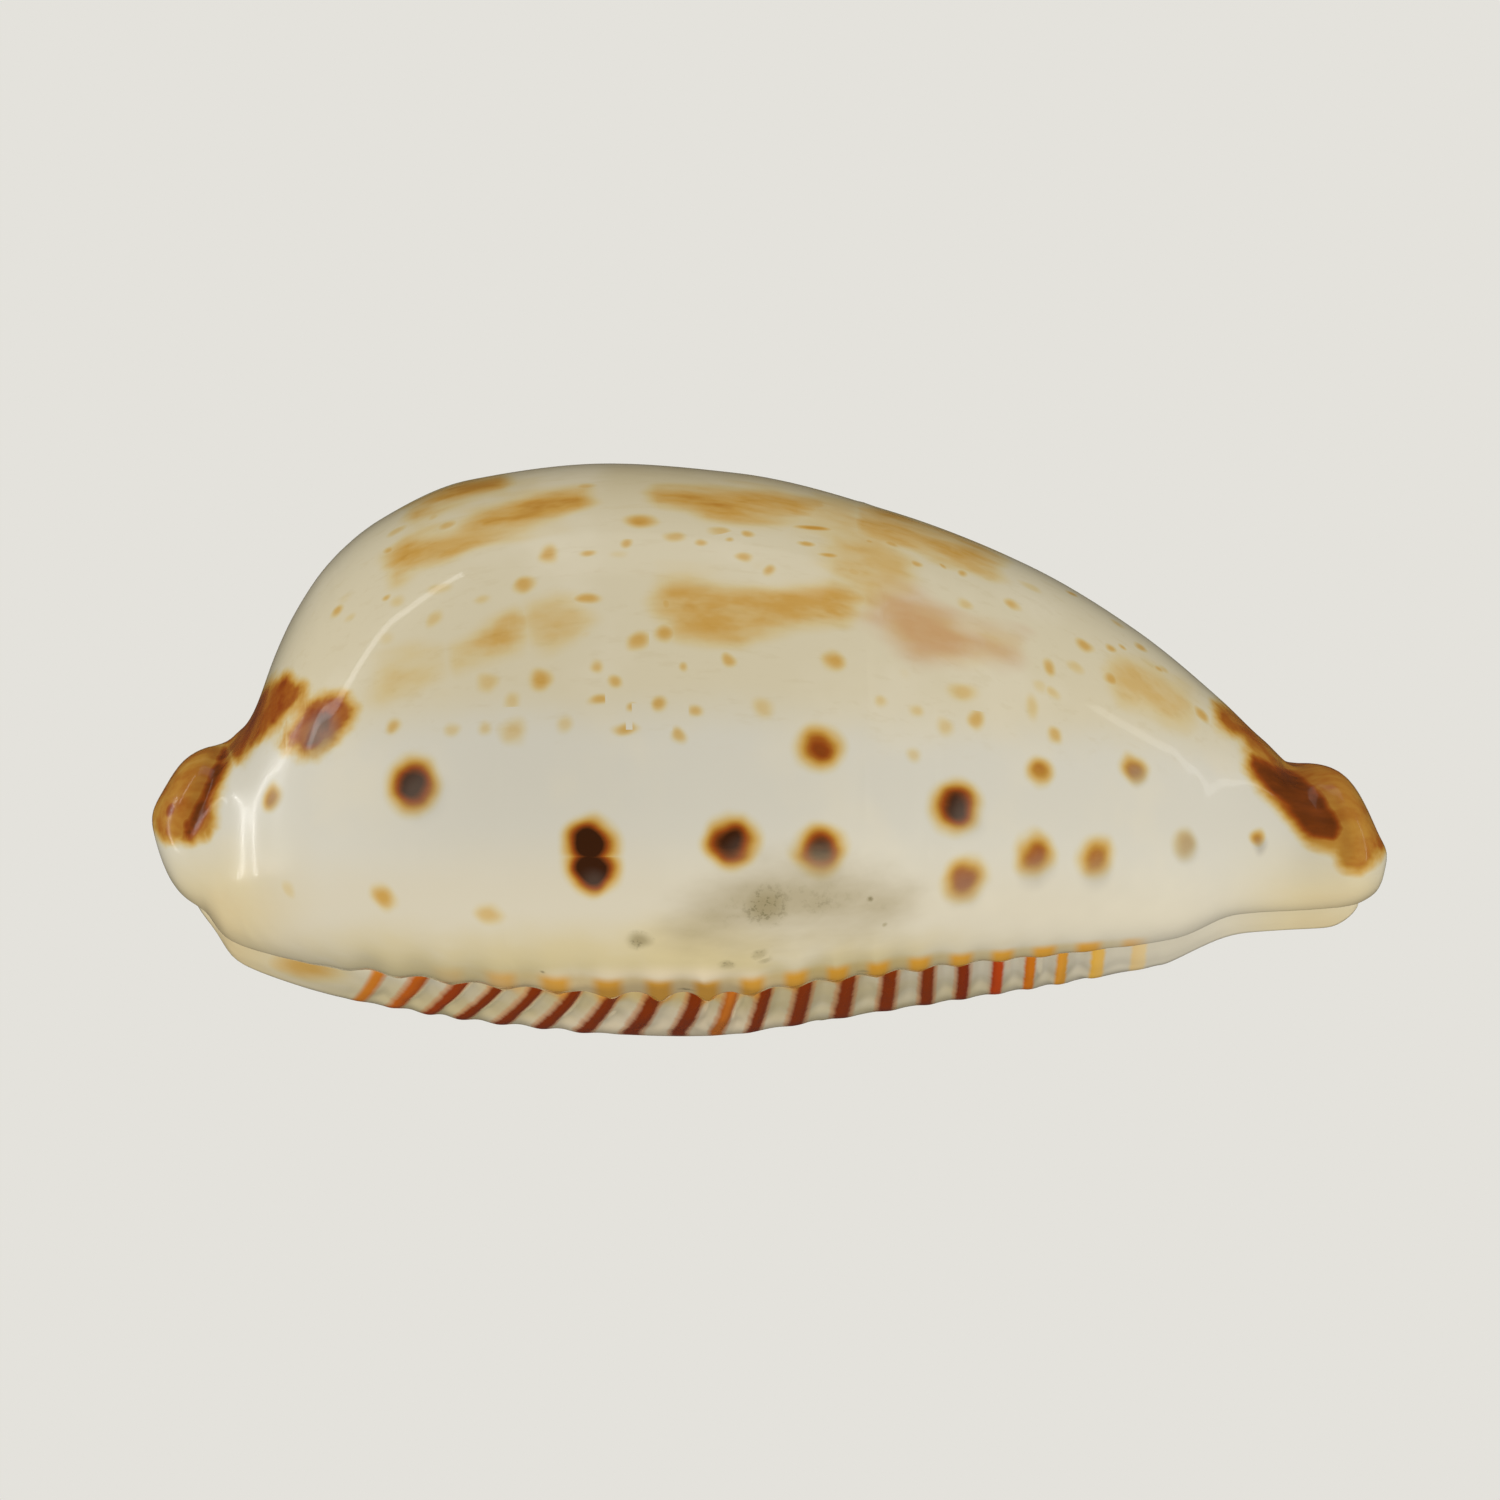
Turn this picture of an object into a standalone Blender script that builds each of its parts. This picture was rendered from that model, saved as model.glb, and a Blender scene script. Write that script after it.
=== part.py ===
import math

import bmesh
import bpy
import numpy as np
from mathutils import Vector

for old in list(bpy.data.objects):
    bpy.data.objects.remove(old)

MM = 0.001

# The shell lies along X with its rear (spire) end at -X and its front canal at +X.
# The outer lip side faces -Y, the columella side faces +Y, the mouth opens down.
COLUMELLA = 1
OUTER_LIP = -1

# Profiles along the shell, each a few points (x, value) in millimetres.
CREST_HEIGHT = [(-19.0, 7.8), (-18.0, 8.45), (-17.2, 8.45), (-16.5, 8.6), (-15.95, 9.2), (-15.3, 11.05),
                (-14.7, 12.4), (-13.6, 14.05), (-12.0, 15.4), (-9.3, 16.6), (-5.0, 17.1), (-1.0, 16.8),
                (3.8, 15.6), (8.1, 13.9), (11.4, 11.9), (14.0, 9.75), (15.3, 8.5), (16.2, 7.8), (17.4, 7.8),
                (18.2, 7.4), (19.0, 6.0)]
BASE_HEIGHT = [(-19.0, 4.2), (-18.2, 3.4), (-17.4, 2.95), (-16.7, 2.1), (-15.6, 1.6), (-12.0, 0.75),
               (-8.0, 0.2), (-2.4, -0.2), (1.6, 0.32), (6.0, 0.92), (9.2, 1.35), (12.5, 1.95),
               (14.4, 2.75), (17.5, 3.0), (19.0, 3.2)]
EDGE_HEIGHT = [(-19.0, 5.5), (-16.0, 5.3), (-12.0, 4.9), (0.0, 4.8), (10.0, 5.0), (15.5, 5.0), (19.0, 4.3)]
HALF_WIDTH = [(-19.0, 3.7), (-17.8, 4.6), (-16.6, 5.3), (-15.4, 6.6), (-14.0, 8.0), (-11.5, 9.7),
              (-8.0, 10.9), (-4.0, 11.5), (1.0, 11.1), (5.0, 9.9), (9.0, 8.0), (12.5, 5.9),
              (14.8, 4.4), (16.2, 3.9), (17.8, 4.1), (19.0, 3.5)]
MOUTH_MIDDLE = [(-19.0, 0.5), (-15.0, 0.2), (-10.0, -0.8), (-4.0, -1.5), (4.0, -1.6), (10.0, -1.1),
                (15.0, -0.3), (19.0, 0.0)]
MOUTH_WIDTH = [(-19.0, 2.0), (-16.5, 1.7), (-13.5, 1.3), (0.0, 1.2), (8.0, 1.4), (12.0, 1.8),
               (15.5, 2.2), (19.0, 2.4)]
DORSUM_WALL = [(-19.0, 1.5), (-15.0, 1.8), (-8.0, 1.2), (4.0, 1.1), (12.0, 1.4), (19.0, 1.5)]
SIDE_WALL = [(-19.0, 2.6), (-16.5, 2.9), (-13.0, 2.7), (-6.0, 2.0), (4.0, 2.0), (12.0, 2.4), (15.5, 2.8),
             (19.0, 2.4)]
BASE_WALL = [(-19.0, 1.4), (-14.0, 1.9), (0.0, 2.1), (11.0, 1.8), (19.0, 1.4)]

# Lip and foot of the section: the foot is the line that touches the ground.
LIP_ROUND = 0.45 * MM
FOOT_SHARE = {COLUMELLA: 0.46, OUTER_LIP: 0.40}
LIP_RISE = {COLUMELLA: 0.50 * MM, OUTER_LIP: 0.22 * MM}

# The hollow is at least this much wider than the mouth, on each side.
CANAL_SWELL = 0.25 * MM
HOLLOW_EDGE_RISE = 0.5 * MM

# Teeth: their places along each lip (x in mm) and their form.
COLUMELLA_TEETH = [-11.95, -10.52, -9.10, -7.98, -6.83, -5.65, -4.56, -3.32, -1.99, -0.99, -0.06,
                   1.21, 2.51, 3.82, 4.94, 6.02, 7.11, 8.13, 9.05, 10.15, 11.50]
OUTER_TEETH = [-13.10, -11.42, -9.78, -8.13, -6.52, -4.84, -3.35, -1.86, -0.53, 0.84, 2.08, 3.29,
               4.56, 5.81, 7.11, 8.32, 9.72, 11.18]
TEETH = {COLUMELLA: COLUMELLA_TEETH, OUTER_LIP: OUTER_TEETH}
TOOTH_HEIGHT = 0.30 * MM
TOOTH_REACH = {COLUMELLA: 0.42, OUTER_LIP: 0.22}
TOOTH_SLANT = [(-14.0, -0.6), (-12.0, -1.0), (-8.0, -1.7), (-5.0, -1.4), (-2.0, -0.75), (1.5, -0.35),
               (5.0, 0.0), (14.0, 0.0)]
TOOTH_FADE = 0.6
FADING_TEETH = 2.0
STEPS_PER_TOOTH = 4

# Ends of the wall, as (share of the way from lip to crest, x in mm).
# The last point lies past the crest, which rounds the notch between the two lobes.
REAR_RIM = {
    COLUMELLA: [(0.0, -17.2), (0.35, -17.9), (0.60, -18.2), (0.82, -17.7), (1.0, -16.9), (1.1, -17.1)],
    OUTER_LIP: [(0.0, -17.7), (0.35, -18.6), (0.60, -19.0), (0.82, -18.3), (1.0, -16.9), (1.1, -17.1)],
}
FRONT_RIM = {
    COLUMELLA: [(0.0, 17.9), (0.35, 18.4), (0.60, 18.5), (0.82, 18.0), (1.0, 17.3), (1.1, 17.5)],
    OUTER_LIP: [(0.0, 18.2), (0.35, 18.8), (0.60, 19.0), (0.82, 18.4), (1.0, 17.3), (1.1, 17.5)],
}
RIM_ROUND = 1.1 * MM
RIM_ANGLES = [math.radians(18), math.radians(42), math.radians(66)]
RIM_BLEND_STATIONS = 14

# Grid: stations along the shell, and shares of the way from lip to crest across it.
STATIONS = 95
CROWDING = 0.5
LIP_END = 0.08
FOOT = 0.34
EDGE = 0.60
OUTER_SHARES = [0.0, 0.04, LIP_END, 0.145, 0.21, 0.275, FOOT, 0.405, 0.47, 0.535, EDGE,
                0.667, 0.733, 0.80, 0.867, 0.933]
INNER_SHARES = [0.0, 0.21, FOOT, 0.47, EDGE, 0.80]
SHARE_STEP = 0.002

SHELL_COLOUR = (0.66, 0.58, 0.40, 1.0)
SHELL_ROUGHNESS = 0.18


def smooth_curve(points):
    """Return a function of x in metres through the points, without overshoot between them."""
    xs = np.array([p[0] for p in points]) * MM
    ys = np.array([p[1] for p in points]) * MM
    steps = np.diff(xs)
    slopes = np.diff(ys) / steps
    tangents = np.zeros(len(xs))
    tangents[0] = slopes[0]
    tangents[-1] = slopes[-1]
    for i in range(1, len(xs) - 1):
        if slopes[i - 1] * slopes[i] > 0:
            before = 2 * steps[i] + steps[i - 1]
            after = steps[i] + 2 * steps[i - 1]
            tangents[i] = (before + after) / (before / slopes[i - 1] + after / slopes[i])

    def value(x):
        x = min(max(x, xs[0]), xs[-1])
        i = int(min(np.searchsorted(xs, x, side="right") - 1, len(steps) - 1))
        s = (x - xs[i]) / steps[i]
        start = (1 + 2 * s) * (1 - s) ** 2 * ys[i] + s * (1 - s) ** 2 * steps[i] * tangents[i]
        end = s * s * (3 - 2 * s) * ys[i + 1] - s * s * (1 - s) * steps[i] * tangents[i + 1]
        return start + end

    return value


def rim_curve(points):
    """Return a function of the share from lip to crest, giving x in metres."""
    scaled = smooth_curve(points)
    return lambda share: scaled(share * MM)


def smoothstep(low, high, value):
    t = min(max((value - low) / (high - low), 0.0), 1.0)
    return t * t * (3 - 2 * t)


crest_height = smooth_curve(CREST_HEIGHT)
base_height = smooth_curve(BASE_HEIGHT)
edge_height = smooth_curve(EDGE_HEIGHT)
half_width = smooth_curve(HALF_WIDTH)
mouth_middle = smooth_curve(MOUTH_MIDDLE)
mouth_width = smooth_curve(MOUTH_WIDTH)
dorsum_wall = smooth_curve(DORSUM_WALL)
side_wall = smooth_curve(SIDE_WALL)
base_wall = smooth_curve(BASE_WALL)
tooth_slant = smooth_curve(TOOTH_SLANT)
rear_rim = {side: rim_curve(points) for side, points in REAR_RIM.items()}
front_rim = {side: rim_curve(points) for side, points in FRONT_RIM.items()}


def outline_point(share, side, lip, foot, edge, crest, lip_round):
    """Return (y, z) on one side of a section, from the mouth (0) round to the crest (1)."""
    if share < LIP_END:
        a = share / LIP_END * math.pi / 2
        y = lip[0] + side * lip_round * (1 - math.cos(a))
        return y, lip[1] + lip_round * (1 - math.sin(a))
    if share < FOOT:
        s = (share - LIP_END) / (FOOT - LIP_END)
        start = lip[0] + side * lip_round
        return start + (foot[0] - start) * s, lip[1] + (foot[1] - lip[1]) * math.sin(s * math.pi / 2)
    if share < EDGE:
        a = (share - FOOT) / (EDGE - FOOT) * math.pi / 2
        y = foot[0] + (edge[0] - foot[0]) * math.sin(a)
        return y, foot[1] + (edge[1] - foot[1]) * (1 - math.cos(a))
    a = (share - EDGE) / (1 - EDGE) * math.pi / 2
    return edge[0] * math.cos(a), edge[1] + (crest[1] - edge[1]) * math.sin(a)


def outer_point(share, side, x):
    """Return (y, z) of the smooth outer surface."""
    lip_y = mouth_middle(x) + side * mouth_width(x) / 2
    edge_y = side * half_width(x)
    base = base_height(x)
    lip = (lip_y, base + LIP_RISE[side])
    foot = (lip_y + FOOT_SHARE[side] * (edge_y - lip_y), base)
    edge = (edge_y, edge_height(x))
    return outline_point(share, side, lip, foot, edge, (0.0, crest_height(x)), LIP_ROUND)


def inner_point(share, side, x):
    """Return (y, z) of the wall of the hollow."""
    lip_y = mouth_middle(x) + side * mouth_width(x) / 2
    edge_y = side * max(half_width(x) - side_wall(x), side * lip_y + CANAL_SWELL)
    floor = base_height(x) + base_wall(x)
    lip = (lip_y, floor)
    foot = (lip_y + FOOT_SHARE[side] * (edge_y - lip_y), floor)
    edge = (edge_y, max(edge_height(x), floor + HOLLOW_EDGE_RISE))
    return outline_point(share, side, lip, foot, edge, (0.0, crest_height(x) - dorsum_wall(x)), 0.0)


def outward(share, side, x):
    """Return the unit vector that points out of the outer surface in its section."""
    y0, z0 = outer_point(max(share - SHARE_STEP, 0.0), side, x)
    y1, z1 = outer_point(min(share + SHARE_STEP, 1.0), side, x)
    along = Vector((y1 - y0, z1 - z0)).normalized()
    return Vector((along.y, -along.x)) * side


def tooth_edges(side):
    """Return the x of the gaps between teeth, with half a gap before the first and after the last."""
    teeth = np.array(TEETH[side]) * MM
    gaps = (teeth[:-1] + teeth[1:]) / 2
    first = teeth[0] - (gaps[0] - teeth[0])
    last = teeth[-1] + (teeth[-1] - gaps[-1])
    return np.concatenate(([first], gaps, [last]))


def lip_stations(side):
    """Return the stations along a lip, four to a tooth, and the number of the first toothed one."""
    teeth = np.array(TEETH[side]) * MM
    gaps = tooth_edges(side)
    toothed = []
    for i, tooth in enumerate(teeth):
        toothed += [gaps[i], (gaps[i] + tooth) / 2, tooth, (tooth + gaps[i + 1]) / 2]
    toothed.append(gaps[-1])
    spare = STATIONS - len(toothed)
    at_rear = spare // 2
    at_front = spare - at_rear
    rear_end = rear_rim[side](0.0) + RIM_ROUND
    front_end = front_rim[side](0.0) - RIM_ROUND
    rear = list(np.linspace(rear_end, toothed[0], at_rear + 1)[:-1])
    front = list(np.linspace(toothed[-1], front_end, at_front + 1)[1:])
    return np.array(rear + toothed + front), at_rear


def crest_stations():
    """Return the stations along the crest, closer together towards both ends."""
    even = np.linspace(-1.0, 1.0, STATIONS)
    crowded = np.sin(even * math.pi / 2)
    spread = even * (1 - CROWDING) + crowded * CROWDING
    rear_end = rear_rim[COLUMELLA](1.0) + RIM_ROUND
    front_end = front_rim[COLUMELLA](1.0) - RIM_ROUND
    return rear_end + (spread + 1) / 2 * (front_end - rear_end)


def slanted(lip_x, share, side):
    """Return x on a line that starts at the lip and leans back across the columella side's base."""
    if side == OUTER_LIP:
        return lip_x
    return lip_x + tooth_slant(lip_x) * min(share / FOOT, 1.0)


def station_x(i, share, side):
    """Return x of station i on the line that runs along the shell at this share."""
    towards_crest = smoothstep(FOOT, 1.0, share)

    def blended(station):
        at_base = slanted(lip_line[side][station], share, side)
        return at_base * (1 - towards_crest) + crest_line[station] * towards_crest

    rear_end = rear_rim[side](share) + RIM_ROUND
    front_end = front_rim[side](share) - RIM_ROUND
    rear_pull = 1 - smoothstep(0, RIM_BLEND_STATIONS, i)
    front_pull = 1 - smoothstep(0, RIM_BLEND_STATIONS, STATIONS - 1 - i)
    return blended(i) + (rear_end - blended(0)) * rear_pull + (front_end - blended(-1)) * front_pull


def tooth_relief(i, share, side):
    """Return how far the surface lies from the tooth tops: 0 on a tooth, negative between teeth."""
    phase = (i - first_toothed[side]) / STEPS_PER_TOOTH
    teeth = len(TEETH[side])
    if phase <= 0 or phase >= teeth:
        return 0.0
    ridge = (1 - math.cos(2 * math.pi * phase)) / 2
    reach = 1 - smoothstep(TOOTH_FADE * TOOTH_REACH[side], TOOTH_REACH[side], share)
    ends = min(phase, teeth - phase, FADING_TEETH) / FADING_TEETH
    return TOOTH_HEIGHT * reach * ends * (ridge - 1)


def wall_point(i, share, side, outside, x, swell):
    """Return one vertex of the grid. At a rim swell goes to 0, which rounds the wall to its middle."""
    y_out, z_out = outer_point(share, side, x)
    y_in, z_in = inner_point(share, side, x)
    middle = Vector((x, (y_out + y_in) / 2, (z_out + z_in) / 2))
    if outside:
        relief = tooth_relief(i, share, side)
        normal = outward(share, side, x)
        skin = Vector((x, y_out + normal.x * relief, z_out + normal.y * relief))
    else:
        skin = Vector((x, y_in, z_in))
    point = middle + (skin - middle) * swell
    point.z = max(point.z, 0.0)
    return point


def ring(i, rim_angle=math.pi / 2):
    """Return the vertices once round the wall: over the outside, then back along the hollow."""
    rim_inset = RIM_ROUND * (1 - math.cos(rim_angle))

    def point(share, side, outside):
        if rim_angle == math.pi / 2:
            x = station_x(i, share, side)
        elif i == 0:
            x = rear_rim[side](share) + rim_inset
        else:
            x = front_rim[side](share) - rim_inset
        return wall_point(i, share, side, outside, x, math.sin(rim_angle))

    outside = [point(share, COLUMELLA, True) for share in OUTER_SHARES]
    outside.append(point(1.0, COLUMELLA, True))
    outside += [point(share, OUTER_LIP, True) for share in reversed(OUTER_SHARES)]
    inside = [point(share, OUTER_LIP, False) for share in INNER_SHARES]
    inside.append(point(1.0, OUTER_LIP, False))
    inside += [point(share, COLUMELLA, False) for share in reversed(INNER_SHARES)]
    return outside + inside


def close_end(bm, verts, outer_count):
    """Fill the narrow strip between the outer and the inner edge of the last ring."""
    outside = verts[:outer_count]
    inside = list(reversed(verts[outer_count:]))
    o = 0
    n = 0
    while o < len(outside) - 1 or n < len(inside) - 1:
        next_outside = (o + 1) / (len(outside) - 1)
        next_inside = (n + 1) / (len(inside) - 1)
        if next_outside <= next_inside:
            bm.faces.new((outside[o], outside[o + 1], inside[n]))
            o += 1
        else:
            bm.faces.new((outside[o], inside[n + 1], inside[n]))
            n += 1


def build_shell():
    rings = [ring(0, angle) for angle in RIM_ANGLES]
    rings += [ring(i) for i in range(STATIONS)]
    rings += [ring(STATIONS - 1, angle) for angle in reversed(RIM_ANGLES)]
    bm = bmesh.new()
    rows = [[bm.verts.new(point) for point in points] for points in rings]
    around = len(rows[0])
    for row, after in zip(rows, rows[1:]):
        for k in range(around):
            n = (k + 1) % around
            bm.faces.new((row[k], row[n], after[n], after[k]))
    outer_count = 2 * len(OUTER_SHARES) + 1
    close_end(bm, rows[0], outer_count)
    close_end(bm, rows[-1], outer_count)
    bmesh.ops.recalc_face_normals(bm, faces=bm.faces)
    mesh = bpy.data.meshes.new("shell")
    bm.to_mesh(mesh)
    bm.free()
    mesh.shade_smooth()
    shell = bpy.data.objects.new("shell", mesh)
    bpy.context.collection.objects.link(shell)
    return shell


def porcelain():
    material = bpy.data.materials.new("shell porcelain")
    material.use_nodes = True
    shader = material.node_tree.nodes["Principled BSDF"]
    shader.inputs["Base Color"].default_value = SHELL_COLOUR
    shader.inputs["Roughness"].default_value = SHELL_ROUGHNESS
    shader.inputs["Metallic"].default_value = 0.0
    return material


lip_line = {}
first_toothed = {}
for lip_side in (COLUMELLA, OUTER_LIP):
    lip_line[lip_side], first_toothed[lip_side] = lip_stations(lip_side)
crest_line = crest_stations()

build_shell().data.materials.append(porcelain())
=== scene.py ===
import math

import bpy
import numpy as np
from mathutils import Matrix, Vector
from mathutils.bvhtree import BVHTree


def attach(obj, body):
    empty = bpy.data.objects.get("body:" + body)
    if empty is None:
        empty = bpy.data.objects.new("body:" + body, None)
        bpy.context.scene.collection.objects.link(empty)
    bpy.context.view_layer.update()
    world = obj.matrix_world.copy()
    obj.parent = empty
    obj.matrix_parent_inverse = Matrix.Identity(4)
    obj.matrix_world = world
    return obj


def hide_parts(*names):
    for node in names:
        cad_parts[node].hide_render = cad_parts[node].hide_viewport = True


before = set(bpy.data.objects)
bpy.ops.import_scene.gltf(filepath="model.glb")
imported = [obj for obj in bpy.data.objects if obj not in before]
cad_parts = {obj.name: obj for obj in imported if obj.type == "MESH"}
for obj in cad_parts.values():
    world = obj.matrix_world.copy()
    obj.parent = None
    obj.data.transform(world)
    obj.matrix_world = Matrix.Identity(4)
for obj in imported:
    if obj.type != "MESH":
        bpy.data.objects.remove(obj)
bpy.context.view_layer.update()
mm = 0.001
print("frame loaded")

# The side views: the camera sees the near side, the one with the outer lip.
view = {
    "target": (-0.59, 0.0, 8.23),  # mm
    "distance": 300.0,
    "below": 8.5,                  # degrees under the level of the base
    "frameWidth": 46.57,           # mm across the picture at the target
    "sensor": 36.0,
    "clip": (0.01, 20),            # metres, nearest and farthest that the camera sees
}
near, far = -1, 1
target = Vector(view["target"]) * mm
tilt = math.radians(view["below"])


def eyeFor(side):
    toEye = Vector((0, side * math.cos(tilt), -math.sin(tilt)))
    return target + toEye * view["distance"] * mm


def upFor(side):
    return Vector((0, side * math.sin(tilt), math.cos(tilt)))


def setUpCamera():
    bpy.ops.object.select_all(action="DESELECT")
    bpy.ops.object.camera_add(location=eyeFor(near), rotation=(math.pi / 2 + tilt, 0, 0))
    camera = bpy.context.object
    camera.name = "camera"
    camera.data.sensor_width = view["sensor"]
    camera.data.lens = view["sensor"] * view["distance"] / view["frameWidth"]
    camera.data.clip_start, camera.data.clip_end = view["clip"]
    bpy.context.scene.camera = camera


setUpCamera()
print("camera placed")

# The shell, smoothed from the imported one.
cowrie = {
    "mergeWithin": 1e-6,
    "quadAngle": 3.1,    # radians, so that nearly every pair of triangles becomes a quad
    "subdivisions": 2,
    "fitRounds": 3,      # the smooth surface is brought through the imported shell's own points
}
# Grooves beside the end lobes, on the side view in mm, with their half width and depth.
grooves = [
    {"path": [(-16.9, 8.5), (-17.2, 7.6), (-17.7, 6.5), (-18.15, 5.6)],
     "halfWidth": 0.28, "depth": 0.20},
    {"path": [(16.2, 7.7), (16.9, 6.8), (17.5, 5.9), (17.8, 5.2)],
     "halfWidth": 0.38, "depth": 0.16},
]
grooveTurn = 3.0    # how fast a groove comes in where the wall turns to face its side
grooveStart = 0.3   # mm from the middle, where a groove starts
# Teeth along each lip (x in mm) and the base's lines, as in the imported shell.
teeth = {
    "columella": [-11.95, -10.52, -9.10, -7.98, -6.83, -5.65, -4.56, -3.32, -1.99, -0.99, -0.06,
                  1.21, 2.51, 3.82, 4.94, 6.02, 7.11, 8.13, 9.05, 10.15, 11.50],
    "outerLip": [-13.10, -11.42, -9.78, -8.13, -6.52, -4.84, -3.35, -1.86, -0.53, 0.84, 2.08,
                 3.29, 4.56, 5.81, 7.11, 8.32, 9.72, 11.18],
    "slant": [(-14, -0.6), (-12, -1.0), (-8, -1.7), (-5, -1.4), (-2, -0.75), (1.5, -0.35),
              (5, 0), (14, 0)],
    "mouthMiddle": [(-19, 0.5), (-15, 0.2), (-10, -0.8), (-4, -1.5), (4, -1.6), (10, -1.1),
                    (15, -0.3), (19, 0)],
    "mouthWidth": [(-19, 2.0), (-16.5, 1.7), (-13.5, 1.3), (0, 1.2), (8, 1.4), (12, 1.8),
                   (15.5, 2.2), (19, 2.4)],
    "halfWidth": [(-19, 3.7), (-17.8, 4.6), (-16.6, 5.3), (-15.4, 6.6), (-14, 8.0), (-11.5, 9.7),
                  (-8, 10.9), (-4, 11.5), (1, 11.1), (5, 9.9), (9, 8.0), (12.5, 5.9), (14.8, 4.4),
                  (16.2, 3.9), (17.8, 4.1), (19, 3.5)],
    "footShare": 0.46,
    "lipRound": 0.45,
    "leanFrom": 0.235,
    "leanRounds": 4,
}
# The outer lip's edge rises a little between its teeth: by how many mm, and where across the lip
# and up in mm the rise comes in and goes out.
scallop = {
    "rise": 0.13,
    "inner": (-0.7, -0.3),
    "outer": (2.0, 1.1),
    "up": (1.8, 0.8),
}


def pointsOf(mesh):
    places = np.empty(len(mesh.vertices) * 3)
    mesh.vertices.foreach_get("co", places)
    return places.reshape(-1, 3)


def movePoints(mesh, places):
    mesh.vertices.foreach_set("co", places.ravel())
    mesh.update()


# Subdividing pulls a mesh in, so its corners are first pushed out by as much.
def fitToPacked(shell):
    packed = pointsOf(shell.data)
    corners = packed.copy()
    for again in range(cowrie["fitRounds"]):
        smoothed = shell.evaluated_get(bpy.context.evaluated_depsgraph_get()).data
        corners += packed - pointsOf(smoothed)[:len(packed)]
        movePoints(shell.data, corners)
        bpy.context.view_layer.update()


def makeShell():
    bpy.ops.object.select_all(action="DESELECT")
    shell = bpy.data.objects.new("cowrie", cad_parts["shell"].data.copy())
    bpy.context.collection.objects.link(shell)
    bpy.context.view_layer.objects.active = shell
    shell.select_set(True)
    shell.data.materials.clear()
    bpy.ops.object.mode_set(mode="EDIT")
    bpy.ops.mesh.select_all(action="SELECT")
    bpy.ops.mesh.remove_doubles(threshold=cowrie["mergeWithin"])
    bpy.ops.mesh.tris_convert_to_quads(face_threshold=cowrie["quadAngle"],
                                       shape_threshold=cowrie["quadAngle"])
    bpy.ops.object.mode_set(mode="OBJECT")
    smooth = shell.modifiers.new("smooth", "SUBSURF")
    smooth.levels = smooth.render_levels = cowrie["subdivisions"]
    fitToPacked(shell)
    bpy.ops.object.modifier_apply(modifier="smooth")
    bpy.ops.object.shade_smooth()
    return shell


# Where points show on the side view: mm along from the middle, and mm up.
def onSideView(places, side):
    eye, up = np.array(eyeFor(side)), np.array(upFor(side))
    ahead = (np.array(target) - eye) / np.linalg.norm(np.array(target) - eye)
    away = places - eye
    flat = eye + away * (view["distance"] * mm / (away @ ahead))[:, None]
    return flat[:, 0] / mm, flat @ up / mm


def awayFromPath(path, along, up, closed=False):
    ends = path[1:] + path[:1] if closed else path[1:]
    nearest = np.full(len(along), np.inf)
    for (x0, y0), (x1, y1) in zip(path, ends):
        dx, dy = x1 - x0, y1 - y0
        share = np.clip(((along - x0) * dx + (up - y0) * dy) / (dx * dx + dy * dy), 0, 1)
        nearest = np.minimum(nearest, np.hypot(along - x0 - share * dx, up - y0 - share * dy))
    return nearest


# How far inside an outline points are, in mm; outside it is negative.
def insideBy(outline, along, up):
    inside = np.zeros(len(along), bool)
    for (x0, y0), (x1, y1) in zip(outline, outline[1:] + outline[:1]):
        if y0 != y1:
            crossing = x0 + (up - y0) * (x1 - x0) / (y1 - y0)
            inside ^= ((y0 > up) != (y1 > up)) & (along < crossing)
    away = awayFromPath(outline, along, up, closed=True)
    return np.where(inside, away, -away)


def pressGrooves(shell):
    places = pointsOf(shell.data)
    normals = np.empty(len(places) * 3)
    shell.data.vertices.foreach_get("normal", normals)
    normals = normals.reshape(-1, 3)
    for side in (near, far):
        along, up = onSideView(places, side)
        facing = np.clip(normals[:, 1] * side * grooveTurn, 0, 1)
        for groove in grooves:
            away = awayFromPath(groove["path"], along, up)
            press = groove["depth"] * mm * np.exp(-(away / groove["halfWidth"]) ** 2) * facing
            press *= places[:, 1] * side > grooveStart * mm
            places = places - normals * press[:, None]
    places[:, 2] = np.maximum(places[:, 2], 0)
    movePoints(shell.data, places)


shell = makeShell()
pressGrooves(shell)
print("shell smoothed,", len(shell.data.polygons), "faces")


# Margin spots, on the side view in mm: along, up, radius, strength of the pigment.
spots = [
    (-11.08, 7.05, 1.14, 1.04), (-5.54, 5.24, 1.05, 1.28), (-5.48, 4.42, 1.05, 1.28),
    (-1.15, 5.32, 1.04, 1.02), (1.55, 5.04, 1.04, 1.00), (5.81, 6.37, 1.08, 1.02),
    (1.55, 8.20, 0.96, 0.76), (6.05, 4.10, 0.98, 0.66), (8.26, 4.90, 0.92, 0.66),
    (10.15, 4.80, 0.86, 0.58), (11.36, 7.55, 0.66, 0.56), (8.41, 7.49, 0.62, 0.54),
    (12.92, 5.20, 0.66, 0.32), (15.18, 5.42, 0.36, 0.55), (-11.98, 3.58, 0.60, 0.38),
    (-8.69, 3.05, 0.56, 0.26), (-14.90, 3.83, 0.48, 0.16), (-15.43, 6.68, 0.62, 0.52),
    (-18.60, 6.25, 0.60, 0.74), (-17.98, 5.74, 0.60, 0.74), (-17.40, 5.62, 0.40, 0.52)]
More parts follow.
